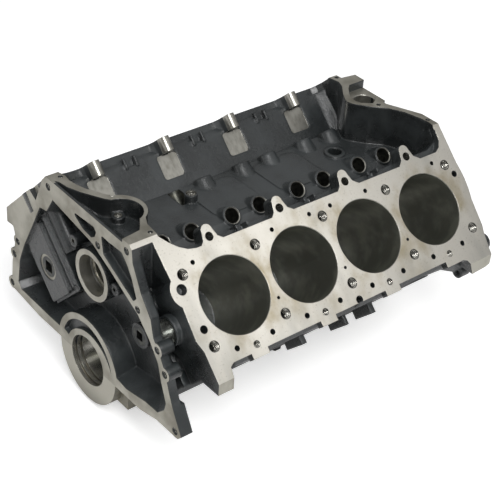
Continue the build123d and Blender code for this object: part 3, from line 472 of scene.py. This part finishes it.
class Zones:
    """Masks of the casting's finishes: 1 on the faces that have one, 0 elsewhere."""

    def __init__(self, at):
        self.deck = at.h.near(DECK_HEIGHT, NEAR) * (at.up > FLAT)
        self.milled = self.find_milled(at)
        self.bores = (at.bore < BORE_RADIUS + NEAR) * (at.h > BORE_FLOOR - MARGIN) * at.wall
        lifter = (abs(at.du) - LIFTER_OFFSET).hypot(at.v - LIFTER_ROW)
        self.lifter_bores = (lifter < LIFTER_REACH) * (at.h > LIFTER_FLOOR)
        self.honed = self.bores.most(self.lifter_bores)
        self.bright = self.find_bright(at, lifter)
        self.tapped = self.find_tapped(at)
        self.metal = self.deck.most(self.milled).most(self.bright).most(self.honed)
        self.metal = self.metal.most(self.tapped)

    def find_milled(self, at):
        """Rails, ends, cam ring, pan rails, feet and the spot faces of the plugs."""
        facing_back, facing_up = at.nx < -FLAT, at.nz > FLAT
        rails = at.z.near(RAIL_TOP, NEAR) * facing_up
        seat = at.z.near(DISTRIBUTOR_SEAT, NEAR) * (at.x > DISTRIBUTOR_START) * facing_up
        rear = at.x.near(0.0, NEAR) * facing_back
        front = (at.x > FRONT_FACE - FRONT_STEP) * (at.nx > FLAT)
        ring = at.x.near(CAM_RING_FACE, NEAR) * (at.round_shaft(CAM_HEIGHT) < CAM_RING_REACH)
        pan = (at.z < NEAR) * (at.nz < -FLAT)
        feet = at.across.near(FOOT_SIDE, NEARLY) * (abs(at.ny) > FLAT)
        spots = at.x.near(PLUG_SPOT_FACE, NEAR) * facing_back
        milled = rails.most(seat).most(rear).most(front).most(ring * facing_back)
        return milled.most(pan).most(feet).most(spots)

    def find_bright(self, at, lifter):
        """Left tab posts, valley patches, shaft tunnels, distributor drum and bore rims. The right
        bank's tab posts keep the dark cast colour as painted shade.
        """
        posts = (abs(at.du) < TAB_HALF) * (at.v > TAB_WALL) * (at.h > TAB_FOOT - NEARLY)
        patches = at.v.near(PATCH_WALL, NEARLY) * (at.inward > PATCH_FLAT) * (at.h > PATCH_FOOT)
        crank = at.round_shaft(CRANK_HEIGHT) < CRANK_REACH
        cam = at.round_shaft(CAM_HEIGHT) < CAM_REACH
        tunnels = crank.most(cam) * (abs(at.nx) < TUNNEL_WALL)
        drum = (at.round_post(DISTRIBUTOR) < DISTRIBUTOR_REACH) * (abs(at.nx) < DRUM_WALL)
        drum = drum * (at.z < DISTRIBUTOR_SEAT - MARGIN) * (at.z > VALLEY_FLOOR)
        rims = (at.bore < BORE_RADIUS + BORE_CHAMFER) * (at.h > DECK_HEIGHT - BORE_RIM_DEPTH)
        rims = rims * (1.0 - self.deck) * (1.0 - self.bores)
        lifter_rims = (lifter < LIFTER_RIM_REACH) * (at.h > LIFTER_MOUTH - LIFTER_CHAMFER)
        # Painted shade: only the left bank's tab posts get bright steel, and the right bank's stay
        # dark cast iron
        bright = (posts * at.wall * at.left).most(patches * (abs(at.du) < PATCH_HALF))
        bright = bright.most(tunnels).most(drum).most(rims)
        return bright.most(lifter_rims * (1.0 - self.lifter_bores))

    def find_tapped(self, at):
        """Walls of the holes in the decks and of the two sender bosses."""
        head = at.dp.hypot(abs(at.v) - HEAD_BOLT_ROW) < HEAD_BOLT_REACH
        tab = (at.du.hypot(at.v - TAB_BOLT_ROW) < TAB_BOLT_REACH) * (at.h > TAB_FOOT + MARGIN)
        edge = at.du.hypot(at.v - EDGE_BOLT_ROW) < EDGE_BOLT_REACH
        sender = at.round_post(SENDER) < SENDER_REACH
        pocket_sender = at.round_post(POCKET_SENDER) < POCKET_SENDER_REACH
        senders = sender.most(pocket_sender) * (at.z > VALLEY_FLOOR)
        senders = senders * (abs(at.nz) < SENDER_WALL)
        return (head.most(tab).most(edge) * at.wall * (at.h > TAPPED_FLOOR)).most(senders)


def block_material(finish):
    """Dark oiled iron with milled decks, ends and rails and bored holes."""
    net = Net("block_iron")
    at = Place(net)
    zone = Zones(at)
    lumps = net.noise(at.spot, 0.11)

    # Casting: dark patches and sand grain, with painted shade on steep and downward faces that
    # leaves the tops paler
    soft = net.noise(at.spot, 0.018, 4.0)
    patchy = soft.fade(0.35, 0.7)
    grain = net.noise(at.spot, 0.9, 4.0, 0.65)
    # Painted light and shade: upward faces lean to the paler casting colour and steep and downward
    # ones to the darker one, on top of the random patches
    patches_and_painted_top_light = patchy * 0.55 + at.nz.fade(-0.2, 0.8) * 0.45
    cast = net.mix(patches_and_painted_top_light, finish.casting_patch_and_shade, finish.casting)
    cast = net.mix(grain.fade(0.55, 0.8) * 0.35, cast, CAST_GRAIN)

    # Milled deck: soft cloudy stains, worn patches and specks
    cloud = net.noise(net.squeezed(at.spot, 1.0, 0.7, 0.7), 0.022, 5.0)
    near_bore = at.bore.fade(*STAIN_RING, 1.0, 0.0)
    stain = (cloud.fade(0.45, 0.75) * 0.55 + near_bore * cloud.fade(0.4, 0.65) * 0.5).least(1.0)
    deck_shade = net.mix(stain, finish.deck, finish.deck_stain)
    worn = net.noise(net.squeezed(at.spot, 1.0, 0.35, 0.35), 0.016, 4.0).fade(0.45, 0.7)
    deck_shade = net.mix(worn * 0.5, deck_shade, DECK_WORN)
    speck = net.noise(at.spot, 0.35).fade(0.6, 0.7)
    deck_shade = net.mix(speck * 0.35, deck_shade, DECK_SPECK)
    flange_shade = net.mix(cloud.fade(0.35, 0.7), finish.flange, FLANGE_CLOUD)

    # Honed bores: dark oiled metal with long soft streaks. Lifter bores: painted shade, dark inside
    # in two random tones
    streak = net.noise(net.squeezed(at.spot, 0.3, 1.0, 1.0), 0.03)
    bore_shade = net.mix(streak.fade(0.4, 0.7), finish.bore, BORE_STREAK)
    # Painted shade: the insides of the lifter bores are darkened
    lifter_painted_shade = net.mix(lumps.fade(0.4, 0.65), LIFTER_SHADE_DARK, LIFTER_SHADE_PALE)
    shine = net.noise(net.squeezed(at.spot, 1.0, 0.5, 0.5), 0.12)
    bright_shade = net.mix(shine.fade(0.35, 0.75), finish.steel, STEEL_CLOUD)

    shade = net.mix(zone.milled, cast, flange_shade)
    shade = net.mix(zone.deck, shade, deck_shade)
    shade = net.mix(zone.bright, shade, bright_shade)
    shade = net.mix(zone.honed, shade, bore_shade)
    shade = net.mix(zone.lifter_bores, shade, lifter_painted_shade)
    # Painted shade: the walls of the tapped holes take their darker colour
    shade = net.mix(zone.tapped, shade, finish.thread)

    rough = blend(zone.milled, 0.24 + patchy * 0.15, 0.42)
    rough = blend(zone.deck, rough, 0.22 + cloud * 0.18)
    rough = blend(zone.bright, rough, 0.3)
    rough = blend(zone.honed, rough, 0.42)
    rough = blend(zone.tapped, rough, 0.25)

    # Relief in millimetres: sand on the casting, cutter marks, rings in tapped holes
    metal, tapped = zone.metal, zone.tapped
    sand = (grain - 0.5) * finish.casting_grain + (lumps - 0.5) * 0.7 + (soft - 0.5) * 1.2
    marks = (net.noise(net.squeezed(at.spot, 0.2, 1.0, 1.0), 1.0, 2.0) - 0.5) * 0.012
    rings = (at.h * (math.tau / SHADED_PITCH)).math("SINE") * 0.25
    height = sand * (1.0 - metal) + marks * metal * (1.0 - tapped) + rings * tapped
    edges = net.either(metal, net.rounded(finish.cast_round, 8), net.rounded(finish.edge_round))
    return net.finish({
        "Base Color": shade,
        "Metallic": metal * 0.85,
        "Roughness": rough,
        "Normal": net.bump(height, edges),
        "Coat Weight": (1.0 - metal) * 0.45,
        "Coat Roughness": 0.22,
    })


def iron_material(finish):
    """Machined bearing cap iron with turned faces, darkened towards its foot as painted shade."""
    net = Net("cap_iron_turned")
    at = Place(net)
    cloud = net.noise(at.spot, 0.05, 4.0)
    shade = net.mix(cloud.fade(0.35, 0.7), finish.cap, CAP_CLOUD)
    faces = at.x.near(0.0, NEAR) * (at.nx < -FLAT)
    shade = net.mix(faces, shade, finish.flange)
    tunnel = (at.round_shaft(CRANK_HEIGHT) < CRANK_REACH) * (abs(at.nx) < TUNNEL_WALL)
    shade = net.mix(tunnel, shade, finish.steel)
    # Painted shade: the caps darken towards their foot, under the block
    low = at.z.fade(CAP_FOOT, CAP_MIDDLE, 0.6, 0.0) * (1.0 - tunnel)
    shade = net.mix(low, shade, CAP_LOW_SHADE)
    grain = net.noise(at.spot, 0.8)
    return net.finish({
        "Base Color": shade,
        "Metallic": 0.85,
        "Roughness": blend(tunnel, 0.44 + cloud * 0.12, 0.26),
        "Normal": net.bump((grain - 0.5) * 0.06, net.rounded(finish.edge_round)),
    })


def metal_material(name, tone, worn, rough, grain_height, stretch=(1.0, 1.0, 1.0)):
    """Plain metal with worn patches and a fine drawn or rolled grain."""
    net = Net(name)
    spot = net.millimetres()
    cloud = net.noise(spot, 0.12, 4.0)
    grain = net.noise(net.squeezed(spot, *stretch), 1.2)
    shade = net.mix(cloud.fade(0.4, 0.7), tone, worn)
    return net.finish({
        "Base Color": shade,
        "Metallic": 0.9,
        "Roughness": rough + (cloud - 0.5) * 0.2,
        "Normal": net.bump((grain - 0.5) * grain_height, net.rounded(SMALL_ROUND)),
    })


def dress(names, material):
    """Gives CAD nodes a material."""
    if not names:
        raise RuntimeError(f"no CAD node to dress with {material.name}")
    for name in names:
        for slot in NODES[name].material_slots:
            slot.material = material


def starting(start):
    """Names of the CAD nodes that start with these letters."""
    return [name for name in sorted(NODES) if name.startswith(start)]


def turned(middle, forward, up):
    """Matrix that puts local X along forward and local Z along up."""
    matrix = Matrix((forward, up.cross(forward), up)).transposed().to_4x4()
    matrix.translation = middle
    return matrix


def bank_matrix(left, u, v, h):
    """Frame of a hole at u, v, h on a bank: local Z up its bores, local X forward."""
    side = 1.0 if left else -1.0
    x = u - (BANK_OFFSET if left else 0.0)
    middle = Vector((x / MM, side * (h - v) * SLOPE / MM, (h + v) * SLOPE / MM))
    return turned(middle, FORWARD, Vector((0, side * SLOPE, SLOPE)))


def cut_thread(mesh, matrix, radius, turns, sizes):
    """Adds one helical thread that runs down from the mouth of a hole."""
    half = sizes.pitch * THREAD_HALF
    top = -sizes.start
    before = set(mesh.verts)
    profile = [
        mesh.verts.new((radius + THREAD_SEAT, 0, top + half)),
        mesh.verts.new((radius - sizes.depth, 0, top)),
        mesh.verts.new((radius + THREAD_SEAT, 0, top - half)),
    ]
    edges = [mesh.edges.new((profile[i - 1], profile[i])) for i in range(3)]
    ridge = bmesh.ops.spin(
        mesh, geom=profile + edges, cent=(0, 0, 0), axis=(0, 0, 1), angle=-math.tau * turns,
        steps=sizes.steps * turns, dvec=(0, 0, -sizes.pitch / sizes.steps), use_merge=False,
    )
    mesh.faces.new(profile)
    mesh.faces.new([v for v in ridge["geom_last"] if isinstance(v, bmesh.types.BMVert)])
    bmesh.ops.transform(mesh, matrix=matrix, verts=[v for v in mesh.verts if v not in before])


def add_piece(name, mesh, material):
    """Links a finished bmesh as a piece that rides on the block."""
    bmesh.ops.recalc_face_normals(mesh, faces=mesh.faces)
    data = bpy.data.meshes.new(name)
    mesh.to_mesh(data)
    mesh.free()
    data.materials.append(material)
    piece = bpy.data.objects.new(name, data)
    bpy.context.scene.collection.objects.link(piece)
    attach(piece, "root")


def add_threads(name, holes, turns, context):
    """One piece with the threads of several holes: each one's matrix and radius."""
    sizes = context.scene.thread_sizes
    mesh = bmesh.new()
    for matrix, radius in holes:
        cut_thread(mesh, matrix, radius / MM, turns, sizes)
    add_piece(name, mesh, shared_thread(context))


def shared_thread(context):
    """The one material of all cut threads."""
    made = bpy.data.materials.get("cut_thread")
    crest = context.scene.block_finish.crest
    return made or metal_material("cut_thread", crest, CREST_WORN, rough=0.2, grain_height=0.02)


class DressCasting(bpy.types.Operator):
    """Gives the block its cast iron with milled and bored faces"""

    bl_idname = "block.dress_casting"
    bl_label = "Dress the casting"

    def execute(self, context):
        dress(["engine_block"], block_material(context.scene.block_finish))
        return {"FINISHED"}


class DressCaps(bpy.types.Operator):
    """Gives the bearing caps and their bolts machined iron and black steel"""

    bl_idname = "block.dress_caps"
    bl_label = "Dress the bearing caps"

    def execute(self, context):
        finish = context.scene.block_finish
        dress(starting("main_cap_"), iron_material(finish))
        bolts = metal_material(
            "cap_bolt_black", finish.bolt, BOLT_WORN, rough=0.42, grain_height=0.04
        )
        dress(starting("cap_"), bolts)
        return {"FINISHED"}


class DressBearings(bpy.types.Operator):
    """Gives the cam bearings their bright turned metal"""

    bl_idname = "block.dress_bearings"
    bl_label = "Dress the cam bearings"

    def execute(self, context):
        tone = context.scene.block_finish.bearing
        metal = metal_material(
            "bearing_bright", tone, BEARING_WORN, rough=0.3, grain_height=0.03,
            stretch=(3.0, 0.2, 0.2),
        )
        dress(starting("cam_bearing_"), metal)
        return {"FINISHED"}


class DressPlugs(bpy.types.Operator):
    """Gives the core plugs and the socket plugs their steels"""

    bl_idname = "block.dress_plugs"
    bl_label = "Dress the plugs"

    def execute(self, context):
        finish = context.scene.block_finish
        plugs = [name for name in sorted(NODES) if "_plug" in name]
        cups = [name for name in plugs if "_core_plug" in name]
        keyed = [name for name in plugs if name not in cups]
        pressed = metal_material(
            "core_plug_steel", finish.plug, PLUG_WORN, rough=0.22, grain_height=0.03
        )
        dress(cups, pressed)
        dark = metal_material(
            "socket_plug_steel", finish.socket_plug, SOCKET_PLUG_WORN, rough=0.36,
            grain_height=0.04,
        )
        dress(keyed, dark)
        return {"FINISHED"}


class CutDeckThreads(bpy.types.Operator):
    """Cuts the threads of the head bolt holes in both decks"""

    bl_idname = "block.cut_deck_threads"
    bl_label = "Cut the deck threads"

    def execute(self, context):
        posts = [FIRST_POST + BORE_SPACING * i for i in range(BORE_COUNT + 1)]
        bores = [FIRST_BORE + BORE_SPACING * i for i in range(BORE_COUNT)]
        rows = (-HEAD_BOLT_ROW, HEAD_BOLT_ROW)
        spots = [(u, v, HEAD_BOLT_RADIUS) for u in posts for v in rows]
        spots += [(u, EDGE_BOLT_ROW, EDGE_BOLT_RADIUS) for u in bores]
        for side, left in (("right", False), ("left", True)):
            holes = [(bank_matrix(left, u, v, DECK_HEIGHT), radius) for u, v, radius in spots]
            add_threads(f"{side}_deck_threads", holes, context.scene.thread_sizes.turns, context)
        return {"FINISHED"}


class CutEndThreads(bpy.types.Operator):
    """Cuts the threads of the gearbox flange and of the timing cover face"""

    bl_idname = "block.cut_end_threads"
    bl_label = "Cut the end threads"

    def execute(self, context):
        turns = context.scene.thread_sizes.turns // 2
        rear = [
            (turned(Vector((0, y / MM, z / MM)), SIDEWAYS, -FORWARD), FLANGE_HOLE_RADIUS)
            for y, z in FLANGE_HOLES
        ]
        add_threads("gearbox_flange_threads", rear, turns, context)
        places = TIMING_BOLTS + tuple((-y, z) for y, z in TIMING_BOLTS)
        x = FRONT_FACE / MM
        front = [
            (turned(Vector((x, y / MM, z / MM)), SIDEWAYS, FORWARD), TIMING_BOLT_RADIUS)
            for y, z in places
        ]
        add_threads("timing_cover_threads", front, turns, context)
        return {"FINISHED"}


class CutValleyThreads(bpy.types.Operator):
    """Cuts the threads of the manifold rails and of the two sender bosses"""

    bl_idname = "block.cut_valley_threads"
    bl_label = "Cut the valley threads"

    def execute(self, context):
        turns = context.scene.thread_sizes.turns // 2
        rails = [
            (turned(Vector((x, y, RAIL_TOP)) / MM, FORWARD, UP), RAIL_HOLE_RADIUS)
            for x, y in RAIL_HOLES
        ]
        add_threads("manifold_rail_threads", rails, turns, context)
        mouths = ((*SENDER, SENDER_TOP), (*POCKET_SENDER, POCKET_SENDER_TOP))
        senders = [(turned(Vector(mouth) / MM, FORWARD, UP), SENDER_RADIUS) for mouth in mouths]
        add_threads("sender_boss_threads", senders, turns, context)
        return {"FINISHED"}


class BuildStudio(bpy.types.Operator):
    """Builds the white floor, the soft lamps and the camera"""

    bl_idname = "block.build_studio"
    bl_label = "Build the studio"

    def execute(self, context):
        sizes = context.scene.studio_sizes
        build_floor(sizes)
        build_sky(sizes)
        middle = (Vector(CAD_BOX[0]) + Vector(CAD_BOX[1])) / 2
        for name, place, side, power, gloss in LAMPS:
            build_lamp(name, Vector(place), middle, side, getattr(sizes, power), gloss)
        build_camera(context)
        return {"FINISHED"}


def build_floor(sizes):
    """Pale floor under the lowest solids, white to the camera outside the shadow."""
    mesh = bmesh.new()
    bmesh.ops.create_grid(mesh, x_segments=1, y_segments=1, size=sizes.floor_size / 2)
    lowest = Vector(CAD_BOX[0]).z - FLOOR_GAP
    bmesh.ops.translate(mesh, vec=(FLOOR_MIDDLE, 0, lowest), verts=mesh.verts)
    data = bpy.data.meshes.new("studio_floor")
    mesh.to_mesh(data)
    mesh.free()
    floor = bpy.data.objects.new("studio_floor", data)
    bpy.context.scene.collection.objects.link(floor)
    net = Net("floor_white")
    white = (FLOOR_WHITE, FLOOR_WHITE, FLOOR_WHITE, 1)
    matt = net.node("ShaderNodeBsdfDiffuse", {}, {"Color": white})
    seen = net.node("ShaderNodeLightPath", out="Is Camera Ray")
    light = {"Color": (1, 1, 1, 1), "Strength": seen * FLOOR_GLOW}
    glow = net.node("ShaderNodeEmission", {}, light)
    both = net.node("ShaderNodeAddShader", {}, [matt, glow])
    net.node("ShaderNodeOutputMaterial", {}, [both])
    data.materials.append(net.owner)


def build_sky(sizes):
    """White world, brighter overhead than at the sides and plain white to the camera."""
    net = Net("studio_sky", "worlds")
    height = net.split(net.node("ShaderNodeTexCoord", out="Generated"))[2]
    lit = net.node("ShaderNodeMapRange", {}, {
        "Value": height, "From Min": 0.0, "From Max": SKY_TOP,
        "To Min": sizes.horizon, "To Max": sizes.sky,
    })
    seen = net.node("ShaderNodeLightPath", out="Is Camera Ray")
    light = {"Color": (1, 1, 1, 1), "Strength": blend(seen, lit, 1.0)}
    shine = net.node("ShaderNodeBackground", {}, light)
    net.node("ShaderNodeOutputWorld", {}, [shine])
    bpy.context.scene.world = net.owner


def build_lamp(name, place, target, side, power, gloss):
    """Large square lamp that looks at the block."""
    lamp = bpy.data.lights.new(name, "AREA")
    lamp.size, lamp.energy, lamp.specular_factor = side, power, gloss
    made = bpy.data.objects.new(name, lamp)
    made.location = place
    made.rotation_euler = (target - place).to_track_quat("-Z", "Y").to_euler()
    bpy.context.scene.collection.objects.link(made)


def build_camera(context):
    """Camera at the angle from which the block was photographed."""
    lens = bpy.data.cameras.new("photo_camera")
    lens.lens, lens.sensor_width = CAMERA_LENS, CAMERA_SENSOR
    lens.clip_end = CAMERA_RANGE
    camera = bpy.data.objects.new("photo_camera", lens)
    matrix = Matrix((CAMERA_RIGHT, -CAMERA_DOWN, -CAMERA_FORWARD)).transposed().to_4x4()
    matrix.translation = CAMERA_PLACE
    camera.matrix_world = matrix
    context.scene.collection.objects.link(camera)
    context.scene.camera = camera
    context.scene.view_settings.view_transform = "Standard"


class BlockPanel(bpy.types.Panel):
    """Lists the finishing steps of the block"""

    bl_idname = "VIEW3D_PT_block"
    bl_label = "Engine Block"
    bl_space_type = "VIEW_3D"
    bl_region_type = "UI"
    bl_category = "Block"

    def draw(self, context):
        for group in ("block_finish", "thread_sizes", "studio_sizes"):
            settings = getattr(context.scene, group)
            for name in settings.__annotations__:
                self.layout.prop(settings, name)
        for step in STEPS:
            self.layout.operator(step.bl_idname)


STEPS = (
    DressCasting, DressCaps, DressBearings, DressPlugs, CutDeckThreads, CutEndThreads,
    CutValleyThreads, BuildStudio,
)
GROUPS = (
    ("block_finish", BlockFinish), ("thread_sizes", ThreadSizes), ("studio_sizes", StudioSizes),
)


def register():
    """Registers the settings, the steps and the panel."""
    for name, group in GROUPS:
        bpy.utils.register_class(group)
        setattr(bpy.types.Scene, name, PointerProperty(type=group))
    for step in (*STEPS, BlockPanel):
        bpy.utils.register_class(step)


def unregister():
    """Takes the panel, the steps and the settings out again."""
    for step in (BlockPanel, *reversed(STEPS)):
        bpy.utils.unregister_class(step)
    for name, group in reversed(GROUPS):
        delattr(bpy.types.Scene, name)
        bpy.utils.unregister_class(group)


def main():
    """Runs every step in order."""
    register()
    for step in STEPS:
        group, name = step.bl_idname.split(".")
        getattr(getattr(bpy.ops, group), name)()


if __name__ == "__main__":
    main()
